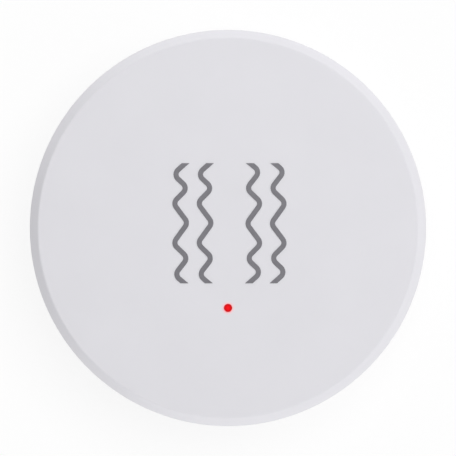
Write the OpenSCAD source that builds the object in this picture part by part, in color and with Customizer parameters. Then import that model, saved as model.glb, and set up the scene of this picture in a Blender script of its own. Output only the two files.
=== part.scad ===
// Round stick-on vibration sensor. A bevelled housing with the electronics twists off a back plate:
// pegs on the plate's spigot run in helical grooves inside the housing's skirt.
// Frame: +Z points out of the face, +Y to the top of the printed waves, and the origin is the centre
// of the adhesive face.

/* [Housing] */
// Outside diameter of the housing and the back plate
body_d = 50; // [46:0.5:60]
// Thickness of the flat face
face_t = 1.8; // [1.4:0.1:2.6]
// Thickness of the skirt
skirt_t = 2; // [1.8:0.1:2.6]
// Width of the bevel round the face, seen from the front
bevel_w = 1.1; // [0.6:0.1:1.4]
// Height of the bevel, seen from the side
bevel_h = 1.1; // [0.6:0.1:1.4]
// Rounding of the bevel's two edges
bevel_round = 0.4; // [0.1:0.1:0.6]
// Rounding of the edges at the seam
seam_round = 0.2; // [0.1:0.05:0.4]
// Rounding of the inside corners
inside_round = 0.5; // [0.2:0.1:0.8]
// Least gap between the tallest part on the board and the face
face_clear = 0.3; // [0.2:0.05:1.5]

/* [Back plate] */
// Thickness of the floor
floor_t = 1.5; // [1.2:0.1:2.5]
// Height of the outer rim
rim_h = 2.8; // [2:0.1:3.4]
// Rounding of the lower outside edge
foot_round = 0.6; // [0.2:0.1:1.2]
// Thickness of the spigot that enters the skirt
spigot_t = 1.4; // [1:0.1:2]
// Gap between the spigot and the skirt
spigot_clear = 0.25; // [0.15:0.05:0.4]
// Shadow gap between the rim and the skirt
seam_gap = 0.25; // [0.15:0.05:0.5]
// Inside radius of the stiffening ring on the floor
stiffener_r = 17; // [15:0.5:18]
// Width of the stiffening ring
stiffener_w = 1; // [0.8:0.1:1.5]
// Height of the stiffening ring
stiffener_h = 1.2; // [0.6:0.1:2]

/* [Twist lock] */
// Number of pegs
peg_count = 3; // [2:1:4]
// Diameter of a peg
peg_d = 1.6; // [1.2:0.1:2]
// How far a peg stands out of the spigot
peg_reach = 0.95; // [0.7:0.05:1.1]
// Gap between a peg and its groove
groove_clear = 0.2; // [0.15:0.05:0.3]
// Rise of the housing in one full turn
thread_lead = 18; // [12:1:24]

/* [Adhesive pad and gasket] */
// Diameter of the adhesive pad
pad_d = 40; // [30:0.5:44]
// Thickness of the adhesive pad
pad_t = 0.9; // [0.6:0.1:1.6]
// Depth of the recess that locates the pad
pad_recess = 0.3; // [0.1:0.1:0.5]
// Gap round the pad in its recess
pad_clear = 0.15; // [0.1:0.05:0.5]
// Thickness of the foam gasket between the spigot and the board
gasket_t = 0.8; // [0.5:0.1:1.2]
// Inset of the gasket from the spigot's bore and from the board's edge
gasket_inset = 0.1; // [0.05:0.05:0.2]

/* [Printed waves] */
// Width of one printed line
wave_w = 0.645; // [0.4:0.005:0.9]
// Height of the printed waves, cut off level at both ends
wave_h = 15.1; // [12:0.1:15.3]
// Radius of the bends, along the middle of a line
wave_bend = 0.75; // [0.5:0.05:0.9]
// Distance from the middle of the print to an inner line
wave_inner_x = 3.075; // [2.5:0.005:4]
// Distance between the two lines of a pair
wave_pitch = 3.07; // [2.5:0.01:3.5]
// Middle of the print, to the right of the housing's axis
wave_x = 0.18; // [-1:0.01:1]
// Middle of the print, above the housing's axis
wave_y = 0.6; // [-1:0.05:1]
// Thickness of the ink
ink_t = 0.05; // [0.02:0.01:0.1]

/* [Light] */
// Diameter of the lit dot
dot_d = 1; // [0.8:0.05:1.5]
// Distance of the dot below the housing's axis
dot_y = 10.05; // [9:0.05:12]
// Gap round the light pipe's tip
dot_clear = 0.03; // [0.02:0.01:0.1]
// Diameter of the light pipe's collar
collar_d = 2.4; // [2:0.1:3]
// Thickness of the light pipe's collar
collar_t = 1; // [0.6:0.1:1.4]
// Diameter of the light pipe's stem
stem_d = 1.6; // [1.2:0.1:1.9]
// Gap between the lamp and the light pipe
lamp_gap = 0.3; // [0.2:0.05:0.6]
// Gap round the collar in its guide
guide_clear = 0.05; // [0.03:0.01:0.1]
// Wall of the guide round the collar
guide_wall = 0.7; // [0.5:0.1:1]
// Depth of the guide below the face
guide_h = 1.6; // [1:0.1:2]
// Length of the lamp
lamp_l = 1.6; // [1.2:0.1:2]
// Width of the lamp
lamp_w = 0.8; // [0.6:0.1:1.2]
// Height of the lamp's base
lamp_base_h = 0.3; // [0.2:0.05:0.5]
// Height of the lamp's lens
lamp_lens_h = 0.4; // [0.2:0.05:0.6]
// Length of the lamp's lens
lamp_lens_l = 1.1; // [0.8:0.05:1.2]

/* [Board and screws] */
// Thickness of the circuit board
board_t = 1; // [0.8:0.1:1.6]
// Gap between the board's edge and the skirt
board_clear = 0.6; // [0.4:0.1:1]
// Width of the keys that stop the board turning
key_w = 1.2; // [0.8:0.1:2]
// Depth of a key in the board's edge
key_depth = 1; // [0.6:0.1:1.4]
// Gap round a key in its notch
key_clear = 0.15; // [0.1:0.05:0.3]
// Distance of the screws in from the board's edge
screw_inset = 4.9; // [4:0.1:5.5]
// Diameter of the screw thread
screw_d = 2; // [1.6:0.1:2.2]
// Length of the screw under its head
screw_l = 4.4; // [3.6:0.1:5]
// Length of the screw's tapered tip
screw_tip = 0.8; // [0.4:0.1:1]
// Diameter of the screw's tip
screw_tip_d = 1; // [0.6:0.1:1.2]
// Diameter of the screw head
screw_head_d = 3.6; // [3:0.1:4]
// Height of the screw head
screw_head_h = 1.2; // [0.9:0.1:1.6]
// Rounding of the screw head's edge
screw_head_round = 0.4; // [0.2:0.1:0.6]
// Length of the cross recess in the screw head
cross_l = 2; // [1.4:0.1:2.2]
// Width of the cross recess
cross_w = 0.5; // [0.3:0.05:0.6]
// Depth of the cross recess
cross_depth = 0.7; // [0.4:0.1:0.8]
// Gap round a screw in the board
screw_clear = 0.15; // [0.1:0.05:0.3]
// How deep the thread bites into the boss, on each side
thread_bite = 0.15; // [0.1:0.01:0.2]
// Wall of a boss round its pilot hole
boss_wall = 1.45; // [1:0.05:1.8]
// Spare depth of a pilot hole past the screw's tip
pilot_spare = 0.4; // [0.2:0.1:0.6]

/* [Coin cell] */
// Diameter of the cell
cell_d = 20; // [16:0.5:23]
// Thickness of the cell
cell_t = 3.2; // [2.5:0.1:5]
// Gap between what holds the cell and the floor of the back plate
floor_gap = 0.45; // [0.3:0.05:1.5]
// Gap between the cell and its holder's wall
cell_clear = 0.25; // [0.15:0.05:0.5]
// Sheet thickness of the cell's two cups
cup_t = 0.3; // [0.2:0.05:0.35]
// Width of the seal between the two cups
seal_w = 0.75; // [0.6:0.05:1]
// Overlap of the can's crimped lip over the seal
crimp = 0.35; // [0.2:0.05:0.45]
// How far the negative cup stands above the crimped lip
cap_step = 0.3; // [0.2:0.05:0.5]
// Rounding of the cups' edges
cup_round = 0.25; // [0.1:0.05:0.3]
// Gap between the cell's pressed pieces
cup_clear = 0.04; // [0.02:0.01:0.08]
// Length of the engraved plus on the can
plus_l = 5; // [3:0.5:8]
// Width of the plus's strokes
plus_w = 0.8; // [0.5:0.1:1.2]
// Depth of the plus
plus_depth = 0.08; // [0.04:0.01:0.12]

/* [Cell holder and contacts] */
// Wall of the holder
holder_wall = 2.15; // [1.6:0.05:2.6]
// Thickness of the holder's floor
holder_floor_t = 0.9; // [0.7:0.1:1.4]
// How far the cell stands out of the holder
cell_proud = 0.8; // [0.4:0.1:1.2]
// Angle of the thumb gap in the wall
thumb_angle = 60; // [40:5:70]
// Width of a retaining nub
nub_w = 3; // [2:0.1:4]
// Thickness of a retaining nub
nub_t = 0.5; // [0.4:0.05:0.7]
// Overlap of a nub over the cell
nub_over = 0.6; // [0.4:0.05:1]
// Gap between a nub and the cell
nub_clear = 0.05; // [0.03:0.01:0.1]
// Sheet thickness of the contacts
contact_t = 0.3; // [0.2:0.05:0.4]
// Width of the contacts
contact_w = 5; // [3:0.1:6]
// Gap round a contact in the holder
contact_clear = 0.2; // [0.1:0.05:0.4]
// Length of a contact's soldered foot outside the holder
contact_foot = 1.4; // [1:0.1:2]
// Bend radius of the contacts, along the middle of the sheet
contact_bend = 0.5; // [0.35:0.05:0.6]
// Reach of the positive tongue over the cell
tongue = 3.2; // [2:0.1:5]
// Play of the negative leaf under the holder's floor
leaf_play = 0.2; // [0.1:0.05:0.5]
// Half the length of the leaf's flat on the cell
leaf_flat = 2.5; // [1.5:0.1:3.5]
// Length of the leaf's slope
leaf_slope = 3.5; // [2.5:0.1:4]
// Length of the leaf's turned-up tip
leaf_tip = 1.5; // [1:0.1:2]
// Rise of the leaf's turned-up tip
leaf_rise = 0.4; // [0.2:0.05:0.6]

/* [Reset button and switch] */
// Width of the button
button_w = 5.6; // [4:0.1:7]
// Height of the button
button_h = 2.2; // [2:0.1:2.8]
// Corner radius of the button
button_round = 0.9; // [0.3:0.1:0.95]
// Gap round the button in the skirt
button_clear = 0.2; // [0.15:0.05:0.3]
// Recess of the button below the skirt
button_recess = 0.2; // [0.1:0.05:0.5]
// How far the button's flange reaches past the slot on each side
flange_over = 0.4; // [0.3:0.05:0.6]
// Least thickness of the flange
flange_t = 0.8; // [0.6:0.1:1.2]
// Gap between the flange and the skirt
flange_clear = 0.1; // [0.05:0.05:0.2]
// Gap between the flange and the board
flange_lift = 0.3; // [0.2:0.05:0.6]
// Travel of the button and the plunger
press_travel = 0.3; // [0.2:0.05:0.4]
// Width of the switch
switch_w = 4.6; // [4:0.1:6]
// Depth of the switch
switch_depth = 3.2; // [2.8:0.1:4]
// Thickness of the switch's moulding over the plunger
switch_roof = 0.6; // [0.5:0.05:1]
// Rounding of the switch's upper edges
switch_round = 0.4; // [0.3:0.05:0.45]
// Diameter of the plunger
plunger_d = 1.6; // [1.2:0.1:2]
// How far the plunger stands out of the switch
plunger_out = 1; // [0.8:0.1:1.5]
// Length of the plunger inside the switch
plunger_in = 1.6; // [1.2:0.1:1.8]
// Running gap round the plunger
plunger_clear = 0.05; // [0.03:0.01:0.08]
// Spare depth of the plunger's bore past its travel
plunger_spare = 0.3; // [0.1:0.05:0.5]
// Sheet thickness of the switch's steel frame
frame_t = 0.2; // [0.15:0.05:0.3]
// Bend radius of the steel frame, along the middle of the sheet
frame_bend = 0.3; // [0.2:0.05:0.35]
// Length of the frame's soldered feet
frame_foot = 0.8; // [0.5:0.1:1.2]

/* [Vibration switch] */
// Wire diameter of the spring
wire_d = 0.25; // [0.2:0.01:0.3]
// Mean diameter of the spring
coil_d = 2; // [1.8:0.05:2.4]
// Turns of the spring
coil_turns = 7; // [5:1:8]
// Rise of the spring in one turn
coil_pitch = 0.8; // [0.72:0.01:1]
// Space beyond the spring's free end
coil_end_gap = 1.5; // [1:0.1:2]
// Space round the spring to sway in
sway_room = 0.375; // [0.35:0.005:0.6]
// Wall of the tube
tube_wall = 0.3; // [0.2:0.05:0.4]
// Height of the tube above the board
tube_lift = 0.1; // [0.05:0.05:0.4]
// Distance of the tube's axis from the cell holder
tube_offset = 1.6; // [1.4:0.1:2.5]
// Distance of the tube's middle below the housing's axis
tube_y = 4.5; // [3.5:0.1:5.5]
// Length of the plugs in the tube's ends
plug_l = 1.2; // [0.8:0.1:1.5]
// Gap between a plug and the tube
plug_clear = 0.03; // [0.02:0.01:0.05]
// Diameter of the leads
lead_d = 0.6; // [0.4:0.05:0.8]
// Straight length of a lead outside the tube
lead_out = 0.6; // [0.4:0.1:1]
// Bend radius of the leads
lead_bend = 0.7; // [0.6:0.05:1]
// Gap round a lead in the board and in its plug
lead_clear = 0.05; // [0.03:0.01:0.1]
// How far the leads reach below the board
lead_tail = 0.6; // [0.3:0.1:1]
// Diameter of the fixed centre pin
pin_d = 1; // [0.8:0.05:1.1]
// Gap between the pin's tip and the spring's stub
pin_gap = 0.6; // [0.4:0.1:1]
// Gap between the spring and the stub that carries it
stub_clear = 0.1; // [0.08:0.01:0.12]
// Length of the stub
stub_l = 0.8; // [0.6:0.1:1]

/* [Radio module] */
// Width of the module
module_w = 16; // [14:0.5:18]
// Length of the module
module_l = 19; // [18.4:0.1:21]
// Thickness of the module's board
module_t = 0.8; // [0.6:0.1:1]
// Distance of the module's corners in from the board's edge
module_inset = 0.6; // [0.4:0.1:1.5]
// Number of edge contacts on a side
edge_count = 8; // [5:1:9]
// Spacing of the edge contacts
edge_pitch = 1.5; // [1.2:0.1:1.6]
// Diameter of an edge contact
edge_d = 0.8; // [0.5:0.1:1]
// Width of the shield
shield_w = 12; // [10:0.5:13]
// Length of the shield
shield_l = 11.6; // [10.8:0.1:12]
// Height of the shield
shield_h = 2; // [1.5:0.1:2.4]
// Sheet thickness of the shield
shield_t = 0.2; // [0.15:0.05:0.3]
// Corner radius of the shield
shield_round = 0.6; // [0.4:0.1:1]
// Distance of the shield from the module's inner end
shield_inset = 0.9; // [0.5:0.1:1.2]
// Side of the radio chip
chip_side = 6; // [4:0.5:7]
// Height of the radio chip
chip_h = 0.9; // [0.7:0.1:1.1]
// Gap between the shield's end walls and the parts inside it
chip_gap = 0.6; // [0.4:0.1:1]
// Length of the crystal
crystal_l = 3.2; // [2:0.1:3.6]
// Width of the crystal
crystal_w = 2.5; // [1.6:0.1:2.8]
// Height of the crystal
crystal_h = 0.7; // [0.5:0.1:1]
// Width of the antenna track
track_w = 0.6; // [0.4:0.05:0.7]
// Thickness of the antenna track
track_t = 0.05; // [0.04:0.01:0.1]
// Number of runs of the antenna
track_runs = 6; // [3:1:6]
// Spacing of the antenna's runs
track_pitch = 2.2; // [1.8:0.1:2.4]
// Length of the antenna's runs
track_run = 3.6; // [2.5:0.1:4]
// Gap between the shield and the antenna
track_gap = 1.2; // [0.8:0.1:1.4]
// Bend radius of the antenna track, along its middle
track_bend = 0.5; // [0.4:0.05:0.8]

/* [Small parts] */
// Number of chip resistors
resistor_count = 4; // [2:1:4]
// Number of chip capacitors
capacitor_count = 3; // [2:1:3]
// Length of a chip part
part_l = 1.6; // [1:0.1:2]
// Width of a chip part
part_w = 0.8; // [0.5:0.1:1.2]
// Height of a chip resistor
resistor_h = 0.45; // [0.3:0.05:0.6]
// Height of a chip capacitor
capacitor_h = 0.8; // [0.5:0.05:1.2]
// Length of a chip part's metal ends
part_end = 0.3; // [0.2:0.05:0.4]
// How far the metal ends stand proud of a chip part
part_proud = 0.03; // [0.02:0.01:0.05]
// Spacing of the chip parts
part_pitch = 2.4; // [2.2:0.1:2.6]
// Length of the voltage regulator
regulator_l = 2.9; // [2.5:0.1:3.4]
// Width of the voltage regulator
regulator_w = 1.4; // [1.2:0.1:1.8]
// Thickness of the voltage regulator
regulator_t = 1; // [0.8:0.1:1.3]
// Gap between the regulator and the board
regulator_lift = 0.1; // [0.05:0.05:0.2]
// Thickness of the regulator's legs
leg_t = 0.15; // [0.1:0.05:0.2]
// Width of the regulator's legs
leg_w = 0.4; // [0.3:0.05:0.5]
// Spacing of the regulator's pair of legs
leg_pitch = 1.9; // [1.6:0.1:2]
// Reach of the regulator's legs past its body
leg_reach = 0.6; // [0.5:0.05:0.9]

/* [Alignment marks] */
// Width of an engraved mark
mark_w = 0.6; // [0.4:0.1:1]
// Height of an engraved mark
mark_h = 1.5; // [1:0.1:1.8]
// Depth of an engraved mark
mark_depth = 0.25; // [0.15:0.05:0.4]

/* [Hidden] */
$fn = 96;

// Steps in a rounded corner
arc_steps = 6;
// How far joined features run into each other
fuse = 0.2;
// How far a cut runs past the surface that it opens
past = 0.5;

// Radii of the shells, from the outside in
body_r = body_d / 2;
skirt_in_r = body_r - skirt_t;
spigot_r = skirt_in_r - spigot_clear;
spigot_in_r = spigot_r - spigot_t;
board_r = skirt_in_r - board_clear;
cell_r = cell_d / 2;
pocket_r = cell_r + cell_clear;
holder_r = pocket_r + holder_wall;

// Heights of the button and of the parts on the board
flange_w = button_w + 2 * (button_clear + flange_over);
flange_h = button_h + 2 * (button_clear + flange_over);
press_h = flange_lift + flange_h / 2;
switch_h = press_h + plunger_d / 2 + switch_roof;
tube_bore_r = (coil_d + wire_d) / 2 + sway_room;
tube_r = tube_bore_r + tube_wall;
lamp_h = lamp_base_h + lamp_lens_h;
tallest_part = max(tube_lift + 2 * tube_r, switch_h + frame_t, press_h + flange_h / 2, module_t + shield_h);

// Heights from the adhesive face up to the front face
base_z = pad_t - pad_recess;
floor_z = base_z + floor_t;
cell_z = floor_z + floor_gap + max(nub_t + nub_clear, contact_t);
cell_top_z = cell_z + cell_t;
holder_floor_z = cell_top_z + contact_t + leaf_play;
board_z = holder_floor_z + holder_floor_t;
board_top_z = board_z + board_t;
ceiling_z = board_top_z + tallest_part + face_clear;
face_z = ceiling_z + face_t;
seam_z = base_z + rim_h;
skirt_z = seam_z + seam_gap;
spigot_z = board_z - gasket_t;

// Twist lock: the pegs sit midway up the engaged spigot, and each groove falls to the skirt's edge
peg_start = 90;
peg_z = (skirt_z + spigot_z) / 2;
groove_half = peg_d / 2 + groove_clear;
groove_r = spigot_r + peg_reach + groove_clear;
groove_end = groove_half / skirt_in_r * 180 / PI;
groove_turn = (peg_z - skirt_z + groove_half) / thread_lead * 360 + groove_end;
groove_steps = 20;
unlock_turn = (peg_z - skirt_z + peg_d / 2) / thread_lead * 360;
mark_angle = -90;

// Places on the board
screw_angles = [30, 150, 270];
screw_circle = board_r - screw_inset;
key_angles = [60, 240];
pilot_d = screw_d - 2 * thread_bite;
boss_d = pilot_d + 2 * boss_wall;
module_y = sqrt(pow(board_r - module_inset, 2) - pow(module_w / 2, 2)) - module_l;
module_top_z = board_top_z + module_t;
shield_y = module_y + shield_inset;
chip_y = shield_y + shield_t + chip_gap + chip_side / 2;
crystal_y = shield_y + shield_l - shield_t - chip_gap - crystal_w / 2;
track_y = shield_y + shield_l + track_gap;
resistor_at = [5, -13];
capacitor_at = [5, -9];
regulator_at = [9.5, -4.5];

// The button and its switch, from the skirt inwards
flange_r = skirt_in_r - flange_clear;
flange_in_x = sqrt(pow(flange_r, 2) - pow(flange_w / 2, 2)) - flange_t;
switch_x = flange_in_x - plunger_out;
press_z = board_top_z + press_h;

// The vibration switch lies along Y, beside the cell holder
tube_x = -(holder_r + tube_offset);
tube_z = board_top_z + tube_lift + tube_r;
tube_l = 2 * (plug_l + wire_d) + coil_turns * coil_pitch + coil_end_gap;
stub_d = coil_d - wire_d - 2 * stub_clear;
stub_tip = plug_l + stub_l - tube_l / 2;
spring_start = plug_l + wire_d - tube_l / 2;
coil_turn_steps = 16;
coil_sides = 6;
coil_steps = coil_turns * coil_turn_steps;

// Directions of the negative leaf, the thumb gap and the nubs, from the positive contact
leaf_angle = 90;
thumb_at = 180;
nub_angles = [-135, 135];

// Heights inside the cell
lip_z = cell_top_z - cap_step;
cap_r = cell_r - cup_t - seal_w;
cup_floor_z = cell_z + cup_t;

// One printed line, from its upper end to its lower end: the corners between its straight stretches
wave_corners = [
    [1.03, 7.9], [-0.93, 6.15], [0.91, 4.42], [-0.95, 2.55], [0.92, 0.05],
    [-0.95, -2.55], [0.92, -4.35], [-0.75, -6.5], [0.92, -7.9]
];

// Outlines

function unit(v) = v / norm(v);

function turned(r, angle) = [r * cos(angle), r * sin(angle)];

// The arc that rounds the corner at b between a and c
function corner_arc(a, b, c, r) =
    let (
        back = unit(a - b),
        ahead = unit(c - b),
        half = acos(back * ahead) / 2,
        centre = b + unit(back + ahead) * r / sin(half),
        first = b + back * r / tan(half) - centre,
        last = b + ahead * r / tan(half) - centre,
        start = atan2(first.y, first.x),
        sweep = atan2(first.x * last.y - first.y * last.x, first * last)
    )
    [for (i = [0 : arc_steps]) centre + turned(r, start + sweep * i / arc_steps)];

// A closed outline from corners [x, y, radius], where radius 0 leaves a corner sharp
function rounded_loop(corners) =
    let (
        n = len(corners),
        points = [for (corner = corners) [corner.x, corner.y]]
    )
    [
        for (i = [0 : n - 1])
            each corners[i].z > 0
                ? corner_arc(points[(i + n - 1) % n], points[i], points[(i + 1) % n], corners[i].z)
                : [points[i]]
    ];

// An open line whose inner corners are rounded by r
function rounded_line(points, r) =
    let (last = len(points) - 1)
    [
        for (i = [0 : last])
            each i > 0 && i < last ? corner_arc(points[i - 1], points[i], points[i + 1], r) : [points[i]]
    ];

// The outline of a band of width w along an open line
function band(line, w) =
    let (
        last = len(line) - 1,
        side = [
            for (i = [0 : last])
                let (along = unit(line[min(i + 1, last)] - line[max(i - 1, 0)]))
                w / 2 * [-along.y, along.x]
        ]
    )
    concat([for (i = [0 : last]) line[i] + side[i]], [for (i = [last : -1 : 0]) line[i] - side[i]]);

function rounded_rectangle(w, h, r) =
    rounded_loop([[-w / 2, -h / 2, r], [w / 2, -h / 2, r], [w / 2, h / 2, r], [-w / 2, h / 2, r]]);

// Shared shapes

// A solid through rings of points that all have the same count
module skin(rings) {
    sides = len(rings[0]);
    last = (len(rings) - 1) * sides;
    walls = [
        for (j = [0 : sides : last - sides], i = [0 : sides - 1])
            let (a = j + i, b = j + (i + 1) % sides)
            each [[a, a + sides, b], [b, a + sides, b + sides]]
    ];
    ends = [for (i = [1 : sides - 2]) each [[0, i, i + 1], [last, last + i + 1, last + i]]];
    polyhedron([for (ring = rings) each ring], concat(walls, ends));
}

// A box centred on x and y that stands on a height
module block(size, at) translate(at - [size.x / 2, size.y / 2, 0]) cube(size);

// A ring that stands on a height
module tube_ring(outer_r, inner_r, h, z) translate([0, 0, z]) difference() {
    cylinder(r = outer_r, h = h);
    translate([0, 0, -past]) cylinder(r = inner_r, h = h + 2 * past);
}

// An outline drawn in y and z, run from x along +X
module along_x(x, length) translate([x, 0, 0]) rotate([90, 0, 90]) linear_extrude(length) children();

// An outline drawn in x and z, run to both sides along Y
module across_y(width) rotate([90, 0, 0]) linear_extrude(width, center = true) children();

// Copies round the Z axis
module at_angles(angles) for (angle = angles) rotate([0, 0, angle]) children();

module at_screws() at_angles(screw_angles) translate([screw_circle, 0, 0]) children();

// An upright engraved mark on the outside wall, at an angle and between two heights
module mark(angle, low_z, high_z)
    rotate([0, 0, angle])
    block([2 * mark_depth, mark_w, high_z - low_z], [body_r, 0, low_z]);

// Housing

module cover_shell() rotate_extrude() polygon(rounded_loop([
    [0, face_z, 0],
    [0, ceiling_z, 0],
    [skirt_in_r, ceiling_z, inside_round],
    [skirt_in_r, skirt_z, seam_round],
    [body_r, skirt_z, seam_round],
    [body_r, face_z - bevel_h, bevel_round],
    [body_r - bevel_w, face_z, bevel_round]
]));

module boss() translate([0, 0, board_top_z]) cylinder(d = boss_d, h = ceiling_z - board_top_z + fuse);

module pilot_hole() translate([0, 0, board_top_z - past])
    cylinder(d = pilot_d, h = past + screw_l - board_t + pilot_spare);

module light_guide() translate([0, -dot_y, 0])
    tube_ring(
        collar_d / 2 + guide_clear + guide_wall, collar_d / 2 + guide_clear,
        guide_h + fuse, ceiling_z - guide_h
    );

// A rib on the skirt that enters a notch in the board's edge
module board_key(gap) {
    length = skirt_in_r + fuse - board_r + key_depth + gap;
    block(
        [length, key_w + 2 * gap, ceiling_z + fuse - board_z],
        [skirt_in_r + fuse - length / 2, 0, board_z]
    );
}

// The helical path of a peg as the housing sees it
module peg_groove() skin([
    for (i = [0 : groove_steps])
        let (
            turn = -groove_end + (groove_turn + groove_end) * i / groove_steps,
            z = peg_z - thread_lead * turn / 360,
            inner = turned(skirt_in_r - past, -turn),
            outer = turned(groove_r, -turn)
        )
        [
            [inner.x, inner.y, z - groove_half], [outer.x, outer.y, z - groove_half],
            [outer.x, outer.y, z + groove_half], [inner.x, inner.y, z + groove_half]
        ]
]);

module at_pegs() at_angles([for (i = [0 : peg_count - 1]) peg_start + i * 360 / peg_count]) children();

module button_outline(gap)
    translate([0, press_z])
    polygon(rounded_rectangle(button_w + 2 * gap, button_h + 2 * gap, button_round + gap));

module front_cover() color("whitesmoke") difference() {
    union() {
        cover_shell();
        at_screws() boss();
        light_guide();
        at_angles(key_angles) board_key(0);
    }
    at_screws() pilot_hole();
    translate([0, -dot_y, ceiling_z - past]) cylinder(d = dot_d + 2 * dot_clear, h = face_t + 2 * past);
    at_pegs() peg_groove();
    along_x(skirt_in_r - past, skirt_t + 2 * past) button_outline(button_clear);
    mark(mark_angle, skirt_z - past, skirt_z + mark_h);
}

// Two lines on the left, and the same two turned half round on the right
module wave_print() color("gray") translate([wave_x, wave_y, face_z]) linear_extrude(ink_t)
    for (half_turn = [0, 180], step = [0, 1])
        rotate(half_turn)
        intersection() {
            translate([-wave_inner_x - step * wave_pitch, 0])
                polygon(band(rounded_line(wave_corners, wave_bend), wave_w));
            square([body_d, wave_h], center = true);
        }

module light_pipe() color("red") translate([0, -dot_y, 0]) {
    stem_z = board_top_z + lamp_h + lamp_gap;
    translate([0, 0, ceiling_z - fuse]) cylinder(d = dot_d, h = face_t + fuse);
    translate([0, 0, ceiling_z - collar_t]) cylinder(d = collar_d, h = collar_t);
    translate([0, 0, stem_z]) cylinder(d = stem_d, h = ceiling_z - collar_t + fuse - stem_z);
}

module reset_button() color("gainsboro") {
    intersection() {
        along_x(flange_in_x, body_r - flange_in_x) button_outline(0);
        cylinder(r = body_r - button_recess, h = face_z);
    }
    intersection() {
        along_x(flange_in_x, body_r - flange_in_x)
            translate([0, press_z])
            polygon(rounded_rectangle(flange_w, flange_h, button_round + button_clear));
        cylinder(r = flange_r, h = face_z);
    }
}

// Back plate

module plate_shell() rotate_extrude() polygon(rounded_loop([
    [0, floor_z, 0],
    [0, base_z, 0],
    [body_r, base_z, foot_round],
    [body_r, seam_z, seam_round],
    [spigot_r, seam_z, 0],
    [spigot_r, spigot_z, seam_round],
    [spigot_in_r, spigot_z, seam_round],
    [spigot_in_r, floor_z, inside_round]
]));

module peg() translate([spigot_r - fuse, 0, peg_z]) rotate([0, 90, 0])
    cylinder(d = peg_d, h = fuse + peg_reach);

module back_plate() color("white") difference() {
    union() {
        plate_shell();
        at_pegs() peg();
        tube_ring(stiffener_r + stiffener_w, stiffener_r, stiffener_h + fuse, floor_z - fuse);
    }
    translate([0, 0, base_z - past]) cylinder(d = pad_d + 2 * pad_clear, h = pad_recess + past);
    mark(mark_angle, seam_z - mark_h, seam_z + past);
    mark(mark_angle + unlock_turn, seam_z - mark_h / 2, seam_z + past);
}

module adhesive_pad() color("lightgray") cylinder(d = pad_d, h = pad_t);

module foam_gasket() color("dimgray")
    tube_ring(board_r - gasket_inset, spigot_in_r + gasket_inset, gasket_t, spigot_z);

// Board and screws

module circuit_board() color("darkgreen") difference() {
    translate([0, 0, board_z]) cylinder(r = board_r, h = board_t);
    at_screws() translate([0, 0, board_z - past])
        cylinder(d = screw_d + 2 * screw_clear, h = board_t + 2 * past);
    at_angles(key_angles) translate([0, 0, -past]) board_key(key_clear);
    at_lead_holes() translate([0, 0, board_z - past])
        cylinder(d = lead_d + 2 * lead_clear, h = board_t + 2 * past);
}

module screw() difference() {
    rotate_extrude() polygon(rounded_loop([
        [0, -screw_head_h, 0],
        [screw_head_d / 2, -screw_head_h, screw_head_round],
        [screw_head_d / 2, 0, 0],
        [screw_d / 2, 0, 0],
        [screw_d / 2, screw_l - screw_tip, 0],
        [screw_tip_d / 2, screw_l, 0],
        [0, screw_l, 0]
    ]));
    for (turn = [0, 90])
        rotate([0, 0, turn])
        block([cross_l, cross_w, cross_depth + past], [0, 0, -screw_head_h - past]);
}

module board_screws() color("silver") at_screws() translate([0, 0, board_z]) screw();

module status_lamp() color("mistyrose") {
    block([lamp_l, lamp_w, lamp_base_h], [0, -dot_y, board_top_z]);
    block([lamp_lens_l, lamp_w, lamp_h], [0, -dot_y, board_top_z]);
}

// Radio module

module radio_board() color("seagreen") difference() {
    block([module_w, module_l, module_t], [0, module_y + module_l / 2, board_top_z]);
    for (side = [-1, 1], i = [0 : edge_count - 1])
        translate([side * module_w / 2, shield_y + i * edge_pitch, board_top_z - past])
        cylinder(d = edge_d, h = module_t + 2 * past);
}

module shield_outline(inset) polygon(
    rounded_rectangle(shield_w - 2 * inset, shield_l - 2 * inset, shield_round - inset)
);

module radio_shield() color("silver") translate([0, shield_y + shield_l / 2, module_top_z]) difference() {
    linear_extrude(shield_h) shield_outline(0);
    translate([0, 0, -past]) linear_extrude(shield_h - shield_t + past) shield_outline(shield_t);
}

module radio_chip() color("black") block([chip_side, chip_side, chip_h], [0, chip_y, module_top_z]);

module radio_crystal() color("silver")
    block([crystal_l, crystal_w, crystal_h], [0, crystal_y, module_top_z]);

// A track that doubles back after each run
module radio_antenna() color("gold") {
    left = -track_pitch * (track_runs - 1) / 2;
    runs = [
        for (i = [0 : track_runs - 1])
            let (x = left + i * track_pitch, low = track_y, high = track_y + track_run)
            each i % 2 == 0 ? [[x, low], [x, high]] : [[x, high], [x, low]]
    ];
    translate([0, 0, module_top_z])
        linear_extrude(track_t)
        polygon(band(rounded_line(runs, track_bend), track_w));
}

// Reset switch

module switch_body() color("black") difference() {
    bore_l = plunger_in + press_travel + plunger_spare;
    along_x(switch_x - switch_depth, switch_depth) translate([0, board_top_z]) polygon(rounded_loop([
        [-switch_w / 2, 0, 0],
        [switch_w / 2, 0, 0],
        [switch_w / 2, switch_h, switch_round],
        [-switch_w / 2, switch_h, switch_round]
    ]));
    translate([switch_x - bore_l, 0, press_z]) rotate([0, 90, 0])
        cylinder(d = plunger_d + 2 * plunger_clear, h = bore_l + past);
}

module switch_plunger() color("ivory")
    translate([switch_x - plunger_in, 0, press_z])
    rotate([0, 90, 0])
    cylinder(d = plunger_d, h = plunger_in + plunger_out);

// A strip bent over the switch, with a foot on each side
module switch_frame() color("silver") {
    side_y = (switch_w + frame_t) / 2;
    foot_z = frame_t / 2;
    roof_z = switch_h + frame_t / 2;
    along_x(switch_x - switch_depth, switch_depth)
        translate([0, board_top_z])
        polygon(band(rounded_line([
            [-side_y - frame_foot, foot_z], [-side_y, foot_z], [-side_y, roof_z],
            [side_y, roof_z], [side_y, foot_z], [side_y + frame_foot, foot_z]
        ], frame_bend), frame_t));
}

// Vibration switch

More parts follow.
